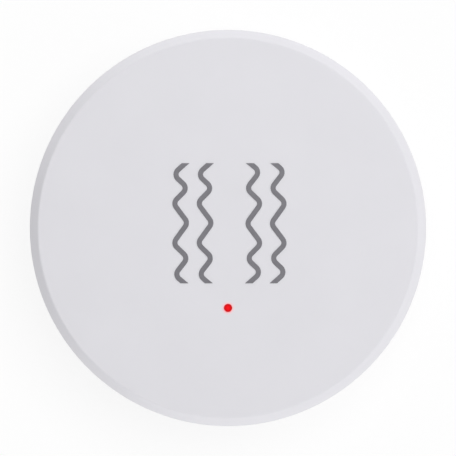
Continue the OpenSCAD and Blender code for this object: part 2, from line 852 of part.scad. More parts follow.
module at_vibration_switch() translate([tube_x, -tube_y, tube_z]) children();

// A round bar along Y between two distances from the tube's middle
module bar(d, from, to) translate([0, from, 0]) rotate([-90, 0, 0]) cylinder(d = d, h = to - from);

module at_lead_holes() for (side = [-1, 1])
    translate([tube_x, side * (tube_l / 2 + lead_out + lead_bend) - tube_y, 0])
    children();

// A lead out of the tube's +Y end, bent down through the board
module bent_lead(from) {
    elbow_y = tube_l / 2 + lead_out;
    bottom_z = board_z - lead_tail - tube_z;
    bar(lead_d, from, elbow_y);
    translate([0, elbow_y, -lead_bend])
        rotate([90, 0, 90])
        rotate_extrude(angle = 90)
        translate([lead_bend, 0])
        circle(d = lead_d);
    translate([0, elbow_y + lead_bend, bottom_z]) cylinder(d = lead_d, h = -lead_bend - bottom_z);
}

module vibration_tube() color("goldenrod") at_vibration_switch() difference() {
    bar(2 * tube_r, -tube_l / 2, tube_l / 2);
    bar(2 * tube_bore_r, -tube_l / 2 - past, tube_l / 2 + past);
}

module vibration_plugs() color("tan") at_vibration_switch() for (from = [-tube_l / 2, tube_l / 2 - plug_l])
    difference() {
        bar(2 * (tube_bore_r - plug_clear), from, from + plug_l);
        bar(lead_d + 2 * lead_clear, from - past, from + plug_l + past);
    }

module vibration_pin() color("gold") at_vibration_switch() {
    bar(pin_d, stub_tip + pin_gap, tube_l / 2 - plug_l);
    bent_lead(tube_l / 2 - plug_l);
}

module vibration_lead() color("gold") at_vibration_switch() mirror([0, 1, 0]) {
    bar(stub_d, -stub_tip, tube_l / 2 - plug_l);
    bent_lead(tube_l / 2 - plug_l);
}

function coil_point(r, step, rise) =
    let (flat = turned(r, 360 * step / coil_turn_steps))
    [flat.x, spring_start + coil_pitch * step / coil_turn_steps + rise, flat.y];

function coil_ring(step) = [
    for (i = [0 : coil_sides - 1])
        let (side = turned(wire_d / 2, 360 * i / coil_sides))
        coil_point(coil_d / 2 + side.x, step, side.y)
];

coil_gap = min([
    for (i = [0 : coil_steps - coil_turn_steps / 2], j = [i + coil_turn_steps / 2 : coil_steps])
        norm(coil_point(coil_d / 2, i, 0) - coil_point(coil_d / 2, j, 0))
]) - wire_d;
echo(str("Least gap between the spring's turns, mm: ", coil_gap));

module vibration_spring() color("gold") at_vibration_switch()
    skin([for (i = [0 : coil_steps]) coil_ring(i)]);

// Coin cell and its holder

module positive_slot() block(
    [holder_wall + contact_clear + past, contact_w + 2 * contact_clear, board_z + past - cell_z],
    [pocket_r + (holder_wall - contact_clear + past) / 2, 0, cell_z]
);

module negative_slot() {
    tip_x = -leaf_flat - leaf_tip - contact_clear;
    length = holder_r + past - tip_x;
    block(
        [length, contact_w + 2 * contact_clear, board_z + past - cell_top_z],
        [tip_x + length / 2, 0, cell_top_z]
    );
}

module thumb_gap() linear_extrude(holder_floor_z) polygon([
    [0, 0],
    turned(2 * holder_r, thumb_at - thumb_angle / 2),
    turned(2 * holder_r, thumb_at + thumb_angle / 2)
]);

// A nub under the wall that holds the cell in
module holder_nub() {
    low_z = cell_z - nub_clear - nub_t;
    inner_x = cell_r - nub_over;
    root_x = holder_r - fuse;
    post_h = cell_z + cell_proud + fuse - low_z;
    block([root_x - inner_x, nub_w, nub_t], [(root_x + inner_x) / 2, 0, low_z]);
    block([root_x - pocket_r, nub_w, post_h], [(root_x + pocket_r) / 2, 0, low_z]);
}

module cell_holder() color("dimgray") {
    difference() {
        translate([0, 0, cell_z + cell_proud]) cylinder(r = holder_r, h = board_z - cell_z - cell_proud);
        cylinder(r = pocket_r, h = holder_floor_z);
        positive_slot();
        rotate([0, 0, leaf_angle]) negative_slot();
        thumb_gap();
    }
    at_angles(nub_angles) holder_nub();
}

module contact_strip(points) across_y(contact_w)
    polygon(band(rounded_line(points, contact_bend), contact_t));

module positive_contact() color("gold") {
    foot_z = board_z - contact_t / 2;
    leg_x = pocket_r + contact_t / 2;
    tongue_z = cell_z - contact_t / 2;
    contact_strip([
        [holder_r + contact_foot, foot_z], [leg_x, foot_z], [leg_x, tongue_z], [cell_r - tongue, tongue_z]
    ]);
}

module negative_contact() color("gold") rotate([0, 0, leaf_angle]) {
    foot_z = board_z - contact_t / 2;
    leaf_z = cell_top_z + contact_t / 2;
    contact_strip([
        [holder_r + contact_foot, foot_z], [leaf_flat + leaf_slope, foot_z], [leaf_flat, leaf_z],
        [-leaf_flat, leaf_z], [-leaf_flat - leaf_tip, leaf_z + leaf_rise]
    ]);
}

module coin_cell_can() color("silver") difference() {
    rotate_extrude() polygon(rounded_loop([
        [0, cell_z, 0],
        [cell_r, cell_z, cup_round],
        [cell_r, lip_z, cup_round],
        [cell_r - cup_t - crimp, lip_z, 0],
        [cell_r - cup_t - crimp, lip_z - cup_t, 0],
        [cell_r - cup_t, lip_z - cup_t, 0],
        [cell_r - cup_t, cup_floor_z, 0],
        [0, cup_floor_z, 0]
    ]));
    for (turn = [0, 90])
        rotate([0, 0, turn])
        block([plus_l, plus_w, plus_depth + past], [0, 0, cell_z - past]);
}

module coin_cell_cap() color("lightgray") rotate_extrude() polygon(rounded_loop([
    [0, cell_top_z, 0],
    [cap_r, cell_top_z, cup_round],
    [cap_r, cup_floor_z + cup_t, 0],
    [cap_r - cup_t, cup_floor_z + cup_t, 0],
    [cap_r - cup_t, cell_top_z - cup_t, 0],
    [0, cell_top_z - cup_t, 0]
]));

module coin_cell_seal() color("dimgray") rotate_extrude() polygon([
    [cap_r - cup_t, cup_floor_z],
    [cell_r - cup_t - cup_clear, cup_floor_z],
    [cell_r - cup_t - cup_clear, lip_z - cup_t],
    [cell_r - cup_t - crimp - cup_clear, lip_z - cup_t],
    [cell_r - cup_t - crimp - cup_clear, lip_z],
    [cap_r + cup_clear, lip_z],
    [cap_r + cup_clear, cup_floor_z + cup_t],
    [cap_r - cup_t, cup_floor_z + cup_t]
]);

module coin_cell_core() color("black") translate([0, 0, cup_floor_z])
    cylinder(r = cap_r - cup_t - cup_clear, h = cell_top_z - cup_t - cup_floor_z);

// Small parts on the board

module chip_part(h) {
    block([part_l - 2 * part_end, part_w, h], [0, 0, 0]);
    for (side = [-1, 1])
        block([part_end, part_w + 2 * part_proud, h + part_proud], [side * (part_l - part_end) / 2, 0, 0]);
}

module part_row(at, count, h) for (i = [0 : count - 1])
    translate([at.x + i * part_pitch, at.y, board_top_z])
    rotate([0, 0, 90])
    chip_part(h);

module chip_resistors() color("dimgray") part_row(resistor_at, resistor_count, resistor_h);

module chip_capacitors() color("tan") part_row(capacitor_at, capacitor_count, capacitor_h);

module at_regulator() translate([regulator_at.x, regulator_at.y, board_top_z]) children();

module regulator_body() color("black") at_regulator()
    block([regulator_w, regulator_l, regulator_t], [0, 0, regulator_lift]);

module regulator_leg() {
    root_x = regulator_w / 2;
    root_z = regulator_lift + regulator_t / 2;
    across_y(leg_w) polygon(band(rounded_line([
        [root_x, root_z], [root_x + leg_reach / 2, root_z],
        [root_x + leg_reach / 2, leg_t / 2], [root_x + leg_reach, leg_t / 2]
    ], leg_t), leg_t));
}

module regulator_legs() color("silver") at_regulator() {
    for (side = [-1, 1]) translate([0, side * leg_pitch / 2, 0]) regulator_leg();
    mirror([1, 0, 0]) regulator_leg();
}

front_cover();
wave_print();
light_pipe();
reset_button();
back_plate();
adhesive_pad();
foam_gasket();
circuit_board();
board_screws();
status_lamp();
radio_board();
radio_shield();
radio_chip();
radio_crystal();
radio_antenna();
switch_body();
switch_frame();
switch_plunger();
vibration_tube();
vibration_plugs();
vibration_pin();
vibration_lead();
vibration_spring();
cell_holder();
positive_contact();
negative_contact();
coin_cell_can();
coin_cell_cap();
coin_cell_seal();
coin_cell_core();
chip_resistors();
chip_capacitors();
regulator_body();
regulator_legs();
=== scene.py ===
"""Looks of a round stick-on vibration sensor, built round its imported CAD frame.

Sizes are in millimetres, and become metres where Blender takes them. The face looks along +Z, and the origin
is the centre of the adhesive face.
"""
import math

import bmesh
import bpy
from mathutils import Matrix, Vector


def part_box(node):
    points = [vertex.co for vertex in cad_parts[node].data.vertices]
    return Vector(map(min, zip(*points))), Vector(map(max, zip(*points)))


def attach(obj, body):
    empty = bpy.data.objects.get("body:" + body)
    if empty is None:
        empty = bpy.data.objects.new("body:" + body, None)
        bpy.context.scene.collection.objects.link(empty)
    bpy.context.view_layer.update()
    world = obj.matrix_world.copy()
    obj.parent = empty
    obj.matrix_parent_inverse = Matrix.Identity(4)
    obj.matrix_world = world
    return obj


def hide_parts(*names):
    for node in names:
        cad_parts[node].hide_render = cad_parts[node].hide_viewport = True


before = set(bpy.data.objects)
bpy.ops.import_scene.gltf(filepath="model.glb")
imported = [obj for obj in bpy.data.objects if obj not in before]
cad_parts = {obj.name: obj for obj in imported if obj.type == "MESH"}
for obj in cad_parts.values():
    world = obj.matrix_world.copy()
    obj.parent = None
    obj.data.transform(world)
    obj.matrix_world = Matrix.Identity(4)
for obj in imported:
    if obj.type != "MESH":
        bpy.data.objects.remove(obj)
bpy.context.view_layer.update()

MM = 0.001

# Colours

WHITE = (1.0, 1.0, 1.0)
BLACK = (0.018, 0.018, 0.02)
SHELL = (0.74, 0.733, 0.77)
PLATE = (0.725, 0.719, 0.752)
BUTTON = (0.73, 0.723, 0.76)
INK = (0.141, 0.137, 0.155)
LENS_RED = (0.16, 0.002, 0.003)
LIT_RED = (1.0, 0.004, 0.007)
LIT_RED_RIM = (0.55, 0.006, 0.01)
# Painted red glow: the shell's colour near the lit lens
SHELL_PAINTED_RED_GLOW = (0.74, 0.0, 0.01)
PAD_FOAM = (0.74, 0.738, 0.73)
PAD_FACE = (0.712, 0.709, 0.72)
PAD_THREADS = (0.61, 0.607, 0.62)
GASKET_FOAM = (0.035, 0.035, 0.038)
BOARD_GREEN = (0.010, 0.085, 0.038)
BOARD_TRACKS = (0.030, 0.190, 0.085)
MODULE_BLUE = (0.010, 0.026, 0.085)
MODULE_TRACKS = (0.026, 0.070, 0.190)
BARE_LAMINATE = (0.42, 0.36, 0.18)
VIA_RING = (0.55, 0.53, 0.48)
SOLDER = (0.70, 0.70, 0.69)
SOLDER_DULL = (0.52, 0.52, 0.51)
GOLD = (0.83, 0.60, 0.22)
GOLD_DULL = (0.52, 0.33, 0.11)
BRASS = (0.78, 0.55, 0.20)
STEEL = (0.60, 0.60, 0.61)
STEEL_DULL = (0.42, 0.41, 0.40)
DARK_STEEL = (0.42, 0.42, 0.43)
DARK_STEEL_DULL = (0.28, 0.27, 0.26)
NICKEL = (0.66, 0.655, 0.64)
NICKEL_DULL = (0.48, 0.46, 0.43)
CAP_NICKEL = (0.62, 0.615, 0.60)
SHIELD_TIN = (0.66, 0.66, 0.65)
CRYSTAL_LID = (0.70, 0.69, 0.66)
TIN = (0.68, 0.68, 0.67)
LAMP_RESIN = (0.72, 0.70, 0.66)
LAMP_LENS = (0.78, 0.42, 0.36)
CHIP_DIMPLE = (0.06, 0.06, 0.063)
PLUNGER_IVORY = (0.62, 0.56, 0.42)
PLUG_TAN = (0.48, 0.36, 0.20)
HOLDER_BLACK = (0.022, 0.022, 0.024)
SEAL_NYLON = (0.05, 0.05, 0.055)
CELL_POWDER = (0.02, 0.02, 0.022)
RESISTOR_BODY = (0.62, 0.60, 0.56)
RESISTOR_TOP = (0.015, 0.015, 0.016)
CAPACITOR_BODY = (0.36, 0.22, 0.10)
CAPACITOR_TOP = (0.38, 0.24, 0.11)
FLOOR_WHITE = (0.96, 0.96, 0.96)

# Sizes of part.scad that the nodes' boxes don't give

DOT_R = 0.5
GASKET_W = 0.85
EDGE_COUNT = 8
EDGE_PITCH = 1.5
PART_W = 0.86
PART_PITCH = 2.4
PART_ENDS_FROM = 0.5
LAMP_BASE_H = 0.3
LEG_PITCH = 1.9
LEAD_D = 0.6

# Nodes of materials


def rgba(colour):
    return (*colour, 1.0)


def scaled(colour, factor):
    return tuple(part * factor for part in colour)


class Nodes:
    """A tree of shader nodes, written as short calls. A value is a constant, a socket, or a node, which
    stands for its first output."""

    def __init__(self, tree):
        self.tree = tree
        tree.nodes.clear()

    def feed(self, socket, value):
        if isinstance(value, bpy.types.Node):
            value = value.outputs[0]
        if isinstance(value, bpy.types.NodeSocket):
            self.tree.links.new(value, socket)
        else:
            socket.default_value = value

    def add(self, kind, inputs=(), **settings):
        node = self.tree.nodes.new("ShaderNode" + kind)
        for key, value in settings.items():
            setattr(node, key, value)
        for key, value in dict(inputs).items():
            self.feed(node.inputs[key], value)
        return node

    def vector(self, operation, *values):
        return self.add("VectorMath", enumerate(values), operation=operation)

    def math(self, operation, *values):
        return self.add("Math", enumerate(values), operation=operation).outputs[0]

    def span(self, value, low, high, start=0.0, end=1.0):
        """Value moved from the range low to high onto start to end, and held there."""
        inputs = {"Value": value, "From Min": low, "From Max": high, "To Min": start, "To Max": end}
        return self.add("MapRange", inputs).outputs["Result"]

    def step(self, value, edge, soft=0.04):
        """0 below the edge and 1 above it, with a soft change."""
        return self.span(value, edge - soft, edge + soft)

    def inside(self, value, edge, soft=0.04):
        """1 below the edge and 0 above it, with a soft change."""
        return self.math("SUBTRACT", 1.0, self.step(value, edge, soft))

    def between(self, share, first, second):
        """A number between two numbers."""
        return self.add("Mix", {0: share, 2: first, 3: second}).outputs[0]

    def mix(self, share, first, second):
        """A colour between two colours."""
        ends = [rgba(end) if isinstance(end, tuple) else end for end in (first, second)]
        return self.add("Mix", {0: share, 6: ends[0], 7: ends[1]}, data_type="RGBA").outputs[2]

    def backdrop_rays(self):
        """1 for the rays that show a backdrop: from the camera, in reflections and through glass."""
        ray = self.add("LightPath").outputs
        seen = self.math("MAXIMUM", ray["Is Camera Ray"], ray["Is Glossy Ray"])
        return self.math("MAXIMUM", seen, ray["Is Transmission Ray"])


class Surface(Nodes):
    """The nodes of one material. Places are in millimetres of the object's space."""

    # Noise keeps mostly to this range
    NOISE_RANGE = (0.3, 0.7)

    def __init__(self, name):
        self.material = bpy.data.materials.new(name)
        self.material.use_nodes = True
        super().__init__(self.material.node_tree)
        self.source = self.add("TexCoord").outputs
        self.place = self.vector("MULTIPLY", self.source["Object"], (1 / MM,) * 3)
        self.axes = self.add("SeparateXYZ", {0: self.place}).outputs

    def show(self, shader):
        self.add("OutputMaterial", {"Surface": shader})

    def noise(self, size, detail=2.0, stretch=None):
        place = self.vector("MULTIPLY", self.place, stretch) if stretch else self.place
        return self.add("TexNoise", {"Vector": place, "Scale": 1 / size, "Detail": detail}).outputs[0]

    def drift(self, size, low=0.0, high=1.0, detail=2.0):
        """Noise of a size, spread from low to high."""
        return self.span(self.noise(size, detail), *self.NOISE_RANGE, low, high)

    def cells(self, size, metric="EUCLIDEAN"):
        """Distance from the nearest of scattered points, as a share of their spacing."""
        inputs = {"Vector": self.place, "Scale": 1 / size}
        return self.add("TexVoronoi", inputs, distance=metric).outputs["Distance"]

    def from_axis(self, x, y):
        """Distance from an upright line."""
        flat = self.vector("MULTIPLY", self.place, (1, 1, 0))
        return self.vector("DISTANCE", flat, (x, y, 0)).outputs["Value"]

    def flatness(self):
        """1 on faces that look up or down, and 0 on side walls."""
        normal = self.add("SeparateXYZ", {0: self.source["Normal"]}).outputs[2]
        return self.step(self.math("ABSOLUTE", normal), 0.6, soft=0.1)


class Look(Surface):
    """A material of one principled shader. Constants are set on the shader's own sockets."""

    def __init__(self, name, constants=()):
        super().__init__(name)
        self.shader = self.add("BsdfPrincipled", constants)
        self.show(self.shader)

    def paint(self, colour):
        self.base = colour
        self.feed(self.shader.inputs["Base Color"], colour)

    def tint(self, colour, shade, patch):
        """A colour that drifts by shade either way in patches of a size."""
        drift = self.drift(patch, detail=3.0)
        self.paint(self.mix(drift, scaled(colour, 1 - shade), scaled(colour, 1 + shade)))

    def tarnish(self, colour, dull, patch, start, most):
        """A metal that dulls in patches of a size: where noise passes start, up to a share of most."""
        stain = self.span(self.noise(patch, detail=4.0), start, 0.8, 0.0, most)
        self.paint(self.mix(stain, colour, dull))

    def gloss(self, rough):
        self.rough = rough
        self.feed(self.shader.inputs["Roughness"], rough)

    def over(self, mask, colour, rough=None):
        """Another colour, and another roughness, where the mask is 1."""
        self.paint(self.mix(mask, self.base, colour))
        if rough is not None:
            self.gloss(self.between(mask, self.rough, rough))

    def plate(self, mask, colour, rough):
        """Metal where the mask is 1."""
        self.over(mask, colour, rough)
        self.feed(self.shader.inputs["Metallic"], mask)

    def emit(self, colour, strength):
        self.feed(self.shader.inputs["Emission Color"], colour)
        self.feed(self.shader.inputs["Emission Strength"], strength)

    def relief(self, height, depth):
        """A bump whose height runs from 0 to 1 over a depth."""
        inputs = {"Height": height, "Distance": depth * MM}
        normal = self.shader.inputs["Normal"]
        if normal.is_linked:
            inputs["Normal"] = normal.links[0].from_socket
        self.feed(normal, self.add("Bump", inputs))


# Kinds of material

ALONG_X = (0.06, 1, 1)
ALONG_Y = (1, 0.06, 1)
ALL_WAYS = (1, 1, 1)


def moulded(name, colour, shade=0.02, patch=6.0, rough=(0.4, 0.5), grain=0.12, depth=0.003, constants=()):
    """Moulded plastic, cured resin or ink, with a fine grain."""
    look = Look(name, constants)
    look.tint(colour, shade, patch)
    look.gloss(look.drift(grain * 5, *rough))
    look.relief(look.noise(grain), depth)
    return look


def brushed(name, colour, dull, rough=(0.22, 0.4), stretch=ALONG_X, line=0.05, depth=0.002):
    """Drawn or rolled metal, with fine lines along the stretch and a faint tarnish."""
    look = Look(name, {"Metallic": 1.0})
    lines = look.noise(line, 3.0, stretch)
    look.tarnish(colour, dull, patch=2.4, start=0.45, most=0.7)
    look.gloss(look.span(lines, *look.NOISE_RANGE, *rough))
    look.relief(lines, depth)
    return look


def spun(name, colour, dull, rough=(0.2, 0.38), line=0.06, depth=0.002):
    """Pressed sheet with fine rings round the Z axis and a faint tarnish."""
    look = Look(name, {"Metallic": 1.0})
    ring = look.add("CombineXYZ", {0: look.from_axis(0, 0), 2: look.axes[2]})
    lines = look.add("TexNoise", {"Vector": ring, "Scale": 1 / line, "Detail": 3.0}).outputs[0]
    look.tarnish(colour, dull, patch=3.2, start=0.5, most=0.5)
    look.gloss(look.span(lines, *look.NOISE_RANGE, *rough))
    look.relief(lines, depth)
    return look


def foam(name, colour, shade, cell):
    """Closed-cell foam: round pits of a cell's size, with painted shade darkening their bottoms."""
    look = Look(name, {"Specular IOR Level": 0.25})
    look.tint(colour, shade, patch=1.5)
    pits = look.cells(cell)
    # Painted shade: the pits' bottoms are darkened as if shade fell in them
    pit_shade = look.span(pits, 0.35, 0.0, 0.0, 0.5)
    look.over(pit_shade, scaled(colour, 0.8))
    look.gloss(look.drift(0.5, low=0.7, high=0.9))
    look.relief(pits, depth=cell / 6)
    return look


TRACK_W = 0.22
TRACK_PITCH = 0.8
TRACK_FIELD = 6.5
TRACK_DEPTH = 0.02
ROUTED_PATCH = 4.0
ROUTED_FROM = 0.46
VIA_SPACING = 2.6
VIA_RING_R = 0.22
VIA_HOLE_R = 0.1


def laminate(name, colour, track_colour):
    """A circuit board: copper tracks and vias under solder mask, with each via's hole painted black as
    painted shade, and bare glass laminate at the edges.
    The tracks run side by side, with square bends, at even distances from scattered points."""
    look = Look(name)
    look.tint(colour, shade=0.06, patch=3.0)
    look.gloss(look.drift(0.6, low=0.24, high=0.36))
    distance = look.math("MULTIPLY", look.cells(TRACK_FIELD, "CHEBYCHEV"), TRACK_FIELD)
    off_track = look.math("PINGPONG", distance, TRACK_PITCH / 2)
    routed = look.step(look.noise(ROUTED_PATCH), ROUTED_FROM, soft=0.01)
    copper = look.math("MULTIPLY", look.inside(off_track, TRACK_W / 2, soft=0.02), routed)
    look.over(copper, track_colour)
    via = look.cells(VIA_SPACING)
    look.over(look.inside(via, VIA_RING_R / VIA_SPACING, soft=0.01), VIA_RING)
    # Painted shade: a black dot in each via stands in for the dark of its hole
    look.over(look.inside(via, VIA_HOLE_R / VIA_SPACING, soft=0.01), BLACK)
    edge = look.math("SUBTRACT", 1.0, look.flatness())
    look.over(edge, BARE_LAMINATE, rough=0.65)
    look.relief(copper, TRACK_DEPTH)
    return look


# Materials of single pieces

LIT_DEPTH = 2
DEEP_GLOW = 0.15
TIP_GLOW = 0.78
# Painted red glow round the lens: its reach, its tint of the shell's colour, and the red light it gives off
HALO_R = 0.95
PAINTED_GLOW_TINT = 0.33
HALO_GLOW = 0.32
THREAD_SCALE = 0.32
FACE_LAYER = 0.1
THREAD_DEPTH = 0.02
TOP_COAT = 0.06
PLATING_R = 0.62


def lit_lens(dot_y, tip_z):
    """Clear red plastic, lit from behind: brightest in the middle of the tip."""
    look = moulded(
        "lit_lens", LENS_RED, shade=0.08, patch=0.6, rough=(0.3, 0.4), grain=0.1, depth=0.001,
        constants={"Specular IOR Level": 0.03},
    )
    rim = look.span(look.from_axis(0, dot_y), DOT_R / 4, DOT_R)
    strength = look.span(look.axes[2], tip_z - LIT_DEPTH, tip_z, DEEP_GLOW, TIP_GLOW)
    look.emit(look.mix(rim, LIT_RED, LIT_RED_RIM), strength)
    return look


def cover_white(dot_y):
    """White plastic with a painted red glow round the lens: its colour turns red there and it gives off red
    light, standing in for the lens's light spreading a little way into it.
    """
    look = moulded("cover_white", SHELL, shade=0.01, patch=8.0, rough=(0.56, 0.64), grain=0.11, depth=0.002)
    fade = look.span(look.from_axis(0, dot_y), DOT_R, HALO_R, 1.0, 0.0)
    halo = look.math("POWER", fade, 2.0)
    # Painted glow: the shell's colour turns red round the lens and it gives off red light, though it is no
    # lamp
    look.over(look.math("MULTIPLY", halo, PAINTED_GLOW_TINT), SHELL_PAINTED_RED_GLOW)
    look.emit(rgba(LIT_RED), look.math("MULTIPLY", halo, HALO_GLOW))
    return look


def adhesive_foam(face_z):
    """White foam whose sticky face shows the threads of its carrier."""
    look = foam("adhesive_foam", PAD_FOAM, shade=0.03, cell=0.22)
    waves = {"Vector": look.place, "Scale": THREAD_SCALE, "Distortion": 0.6}
    threads = [look.add("TexWave", waves, bands_direction=axis) for axis in "XY"]
    crossed = [look.step(thread.outputs["Fac"], 0.86, soft=0.06) for thread in threads]
    weave = look.math("MAXIMUM", *crossed)
    face = look.inside(look.axes[2], face_z + FACE_LAYER)
    shown = look.math("MULTIPLY", face, weave)
    look.over(face, PAD_FACE, rough=0.32)
    look.over(shown, PAD_THREADS, rough=0.42)
    look.relief(shown, THREAD_DEPTH)
    return look


def lamp_package(base_z):
    """A resin base that carries a clearer lens."""
    look = moulded("lamp_resin", LAMP_RESIN, patch=0.5, rough=(0.3, 0.4))
    lens = look.step(look.axes[2], base_z + LAMP_BASE_H, soft=0.02)
    look.over(lens, LAMP_LENS, rough=0.15)
    return look


def chip_part(name, body, top, box):
    """Ceramic chips that lie along Y, with tinned ends and tops of another colour."""
    look = moulded(name, body, shade=0.05, patch=0.4, rough=(0.35, 0.5), grain=0.08, depth=0.004)
    coat = look.step(look.axes[2], box.high.z - TOP_COAT, soft=0.01)
    reach = look.math("ABSOLUTE", look.math("SUBTRACT", look.axes[1], box.middle.y))
    ends = look.step(reach, PART_ENDS_FROM, soft=0.01)
    look.over(coat, top, rough=0.3)
    look.plate(ends, TIN, rough=0.28)
    return look


def gilded_module(edge_x, first_y):
    """The radio's own board, with gold plating in the row of half holes along its two sides."""
    look = laminate("module_blue", MODULE_BLUE, MODULE_TRACKS)
    side = look.math("SUBTRACT", edge_x, look.math("ABSOLUTE", look.axes[0]))
    from_first = look.math("ADD", look.math("SUBTRACT", look.axes[1], first_y), EDGE_PITCH / 2)
    along = look.math("SUBTRACT", look.math("FLOORED_MODULO", from_first, EDGE_PITCH), EDGE_PITCH / 2)
    squares = [look.math("POWER", distance, 2.0) for distance in (side, along)]
    apart = look.math("SQRT", look.math("ADD", *squares))
    look.plate(look.inside(apart, PLATING_R, soft=0.02), GOLD, rough=0.3)
    return look


def marked_chip(name, corner, dimple_r):
    """Dark resin with the dimple that marks one corner."""
    look = moulded(name, BLACK, shade=0.15, patch=0.7, rough=(0.4, 0.55), grain=0.09, depth=0.006)
    dimple = look.inside(look.from_axis(*corner), dimple_r, soft=0.03)
    look.over(dimple, CHIP_DIMPLE, rough=0.25)
    return look


# Places that the looks and the added pieces take from the CAD nodes


class Box:
    """A CAD node's box at rest, in millimetres."""

    def __init__(self, node):
        low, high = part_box(node)
        self.low = low / MM
        self.high = high / MM
        self.middle = (self.low + self.high) / 2


board = Box("circuit_board")
pipe = Box("light_pipe")
lamp = Box("status_lamp")
module = Box("radio_board")
shield = Box("radio_shield")
chip = Box("radio_chip")
resistors = Box("chip_resistors")
capacitors = Box("chip_capacitors")
legs = Box("regulator_legs")
switch = Box("switch_frame")
pin = Box("vibration_pin")
stub = Box("vibration_lead")
positive = Box("positive_contact")
negative = Box("negative_contact")
pad_box = Box("adhesive_pad")
gasket_box = Box("foam_gasket")
chip_dimple = (chip.low.x + 0.9, chip.high.y - 0.9)
regulator_dimple = (legs.low.x + 0.95, legs.high.y + 0.1)

# Finishes of the CAD nodes

gold = brushed("gold_plate", GOLD, GOLD_DULL, rough=(0.18, 0.32))
steel = brushed("plated_steel", STEEL, STEEL_DULL)
finishes = {
    "front_cover": cover_white(pipe.middle.y),
    "wave_print": moulded(
        "printed_ink", INK, shade=0.07, patch=0.5, rough=(0.42, 0.55), grain=0.07, depth=0.004,
    ),
    "light_pipe": lit_lens(pipe.middle.y, pipe.high.z),
    "reset_button": moulded(
        "button_white", BUTTON, shade=0.012, patch=3.0, rough=(0.48, 0.56), grain=0.11, depth=0.002,
    ),
    "back_plate": moulded("plate_white", PLATE, shade=0.012, patch=8.0, rough=(0.56, 0.64), grain=0.13),
    "circuit_board": laminate("board_green", BOARD_GREEN, BOARD_TRACKS),
    "board_screws": spun("screw_steel", DARK_STEEL, DARK_STEEL_DULL),
    "status_lamp": lamp_package(lamp.low.z),
    "radio_board": gilded_module(module.high.x, shield.low.y),
    "radio_shield": brushed("shield_tin", SHIELD_TIN, STEEL_DULL, rough=(0.25, 0.42), stretch=ALONG_Y),
    "radio_chip": marked_chip("radio_resin", chip_dimple, dimple_r=0.35),
    "radio_crystal": brushed("crystal_lid", CRYSTAL_LID, STEEL_DULL, rough=(0.2, 0.34)),
    "radio_antenna": gold,
    "switch_body": moulded(
        "switch_black", BLACK, shade=0.12, patch=1.2, rough=(0.38, 0.5), grain=0.1, depth=0.004,
    ),
    "switch_frame": steel,
    "switch_plunger": moulded("plunger_ivory", PLUNGER_IVORY, shade=0.03, patch=1.0, rough=(0.25, 0.35)),
    "vibration_tube": brushed("tube_brass", BRASS, GOLD_DULL, rough=(0.2, 0.36), stretch=ALONG_Y),
    "vibration_plugs": moulded(
        "plug_tan", PLUG_TAN, shade=0.06, patch=0.8, rough=(0.45, 0.6), grain=0.1, depth=0.006,
    ),
    "vibration_pin": gold,
    "vibration_lead": gold,
    "vibration_spring": gold,
    "cell_holder": moulded(
        "holder_black", HOLDER_BLACK, shade=0.12, patch=3.0, rough=(0.42, 0.56), depth=0.005,
    ),
    "positive_contact": gold,
    "negative_contact": gold,
    "coin_cell_can": spun("nickel_sheet", NICKEL, NICKEL_DULL),
    "coin_cell_cap": spun("cap_nickel", CAP_NICKEL, NICKEL_DULL),
    "coin_cell_seal": moulded("seal_nylon", SEAL_NYLON, shade=0.1, patch=1.0, rough=(0.4, 0.55)),
    "coin_cell_core": moulded(
        "cell_powder", CELL_POWDER, shade=0.3, patch=0.5, rough=(0.8, 0.95), grain=0.15, depth=0.02,
    ),
    "chip_resistors": chip_part("resistor", RESISTOR_BODY, RESISTOR_TOP, resistors),
    "chip_capacitors": chip_part("capacitor", CAPACITOR_BODY, CAPACITOR_TOP, capacitors),
    "regulator_body": marked_chip("regulator_resin", regulator_dimple, dimple_r=0.2),
    "regulator_legs": steel,
}
for name, look in finishes.items():
    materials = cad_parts[name].data.materials
    materials.clear()
    materials.append(look.material)

# Foam pieces, which stand for the plain CAD solids


def new_piece(name, mesh, body, look):
    piece = bpy.data.objects.new(name, mesh)
    bpy.context.scene.collection.objects.link(piece)
    mesh.materials.append(look.material)
    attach(piece, body)
    return piece


def smooth_mesh(name, build):
    """The mesh of a finished bmesh, with smooth shading."""
    bmesh.ops.recalc_face_normals(build, faces=build.faces)
    mesh = bpy.data.meshes.new(name)
    build.to_mesh(mesh)
    build.free()
    mesh.shade_smooth()
    return mesh


def turned_mesh(name, outline, steps, ripple):
    """A closed outline of [radius, height] points turned round Z. A point on the axis becomes a pole, and
    ripple gives a small outward shift at an angle."""
    build = bmesh.new()
    rings = []
    for radius, height in outline:
        if radius == 0:
            rings.append([build.verts.new((0, 0, height * MM))] * steps)
            continue
        ring = []
        for i in range(steps):
            angle = 2 * math.pi * i / steps
            reach = (radius + ripple(angle)) * MM
            ring.append(build.verts.new((reach * math.cos(angle), reach * math.sin(angle), height * MM)))
        rings.append(ring)
    for low, high in zip(rings, rings[1:] + rings[:1]):
        for i in range(steps):
            corners = [low[i], low[(i + 1) % steps], high[(i + 1) % steps], high[i]]
            corners = list(dict.fromkeys(corners))
            if len(corners) > 2:
                build.faces.new(corners)
    return smooth_mesh(name, build)


def foam_edge(radius, low, high, bulge, round_over, out=1):
    """The side of a foam piece from low to high: rounded at both ends and swelling between them. It faces
    away from the axis, or towards it where out is -1."""
    steps = 12
    points = []
    for i in range(steps + 1):
        share = i / steps
        height = low + (high - low) * share
        inset = max(0.0, round_over - min(height - low, high - height))
        rounded = round_over - math.sqrt(max(0.0, round_over ** 2 - inset ** 2))
        points.append([radius + out * (bulge * math.sin(math.pi * share) - rounded), height])
    return points


def slow_ripple(size, waves):
    """The uneven cut of foam: a few waves round the edge."""
    return lambda angle: size * sum(math.sin(count * angle + count) for count in waves) / len(waves)


# How far inside the CAD solids' edges the foam's edges lie, before they swell and ripple
PAD_INSET = 0.05
GASKET_INSET = 0.03
# Room for the board to turn over the gasket
GASKET_ROOM = 0.02

